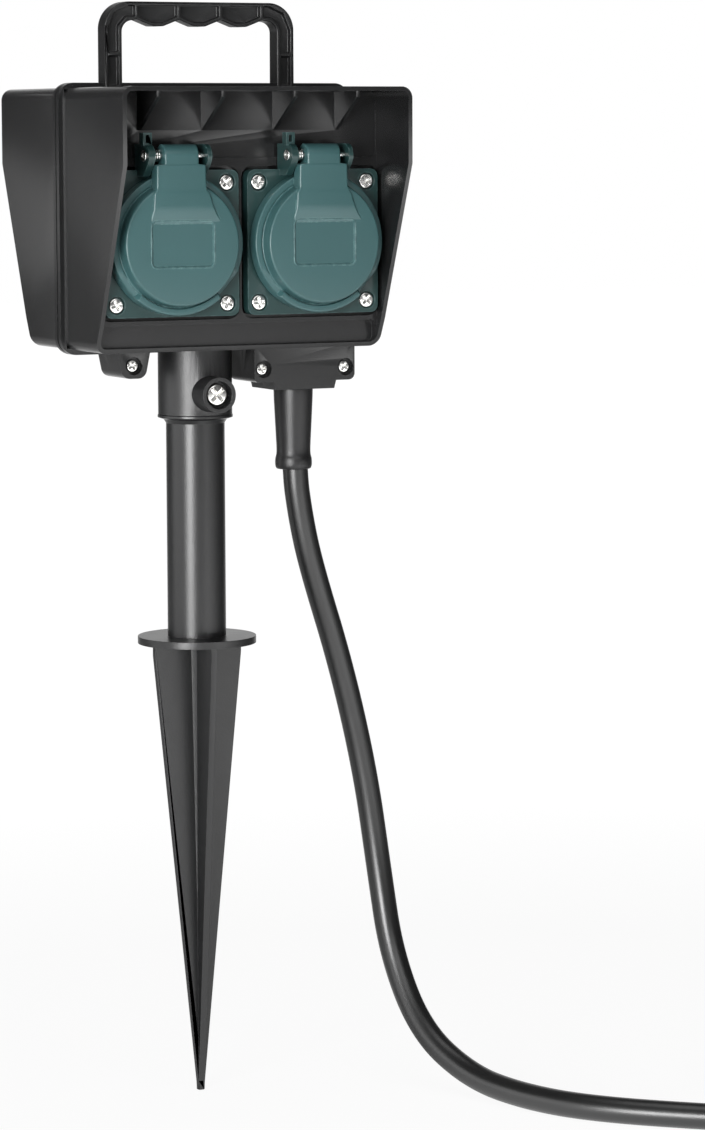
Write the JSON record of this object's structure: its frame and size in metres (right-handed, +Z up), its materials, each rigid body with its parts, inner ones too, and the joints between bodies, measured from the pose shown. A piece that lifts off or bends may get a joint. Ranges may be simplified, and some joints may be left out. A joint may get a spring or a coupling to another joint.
{
  "type": "garden socket spike",
  "caption": "Outdoor power socket on a ground spike: hooded head with spring-lidded sockets at the front and rear, a carrying handle, and a supply cord with its plug.",
  "frame": {"origin": "tip of the ground spike, on the axis of its pole", "axes": "+Z up along the pole, -Y towards the front of the head, +X to the right seen from the front"},
  "size_m": [0.3491, 0.2383, 0.391],
  "materials": {
    "shell_plastic": "satin moulded plastic",
    "handle_plastic": "fine-grained plastic",
    "spike_plastic": "satin moulded plastic",
    "plate_plastic": "satin moulded plastic",
    "lid_plastic": "satin moulded plastic",
    "seal_rubber": "soft foam rubber",
    "block_plastic": "bare plastic",
    "contact_metal": "bare metal",
    "earth_metal": "plated spring steel",
    "pin_metal": "bright zinc plating",
    "screw_metal": "bright zinc plating",
    "boot_rubber": "matte",
    "cord_rubber": "satin",
    "plug_rubber": "matte",
    "plug_metal": "nickel plating"
  },
  "bodies": {
    "head_and_spike": {"front_shell": "shell_plastic", "rear_shell": "shell_plastic", "handle": "handle_plastic", "spike_collar": "shell_plastic", "ground_spike": "spike_plastic", "clamp_screw": "screw_metal", "front_left_plate": "plate_plastic", "front_left_seal": "seal_rubber", "front_left_contact_block": "block_plastic", "front_left_contacts": "contact_metal", "front_left_earth_clip": "earth_metal", "front_left_hinge_pin": "pin_metal", "front_right_plate": "plate_plastic", "front_right_seal": "seal_rubber", "front_right_contact_block": "block_plastic", "front_right_contacts": "contact_metal", "front_right_earth_clip": "earth_metal", "front_right_hinge_pin": "pin_metal", "rear_left_plate": "plate_plastic", "rear_left_seal": "seal_rubber", "rear_left_contact_block": "block_plastic", "rear_left_contacts": "contact_metal", "rear_left_earth_clip": "earth_metal", "rear_left_hinge_pin": "pin_metal", "rear_right_plate": "plate_plastic", "rear_right_seal": "seal_rubber", "rear_right_contact_block": "block_plastic", "rear_right_contacts": "contact_metal", "rear_right_earth_clip": "earth_metal", "rear_right_hinge_pin": "pin_metal", "cord_boot": "boot_rubber", "cord_clamp": "block_plastic", "cord": "cord_rubber", "cord_coil": "cord_rubber", "cord_tail": "cord_rubber", "plug_body": "plug_rubber", "plug_earth_strips": "plug_metal", "plug_pins": "plug_metal"},
    "front_left_lid": {"front_left_lid": "lid_plastic", "front_left_lid_pad": "seal_rubber"},
    "front_right_lid": {"front_right_lid": "lid_plastic", "front_right_lid_pad": "seal_rubber"},
    "rear_left_lid": {"rear_left_lid": "lid_plastic", "rear_left_lid_pad": "seal_rubber"},
    "rear_right_lid": {"rear_right_lid": "lid_plastic", "rear_right_lid_pad": "seal_rubber"}
  },
  "joints": [
    {"name": "front_left_lid_hinge", "type": "hinge", "parent": "head_and_spike", "child": "front_left_lid", "pos_m": [-0.0229, -0.0399, 0.3377], "axis": [-1, 0, 0], "range_deg": [0, 100], "stiffness_Nm_per_rad": 0.005, "springref_deg": -34.38},
    {"name": "front_right_lid_hinge", "type": "hinge", "parent": "head_and_spike", "child": "front_right_lid", "pos_m": [0.0309, -0.0399, 0.3377], "axis": [-1, 0, 0], "range_deg": [0, 100], "stiffness_Nm_per_rad": 0.005, "springref_deg": -34.38},
    {"name": "rear_left_lid_hinge", "type": "hinge", "parent": "head_and_spike", "child": "rear_left_lid", "pos_m": [0.0309, 0.0399, 0.3377], "axis": [1, 0, 0], "range_deg": [0, 100], "stiffness_Nm_per_rad": 0.005, "springref_deg": -34.38},
    {"name": "rear_right_lid_hinge", "type": "hinge", "parent": "head_and_spike", "child": "rear_right_lid", "pos_m": [-0.0229, 0.0399, 0.3377], "axis": [1, 0, 0], "range_deg": [0, 100], "stiffness_Nm_per_rad": 0.005, "springref_deg": -34.38}
  ]
}
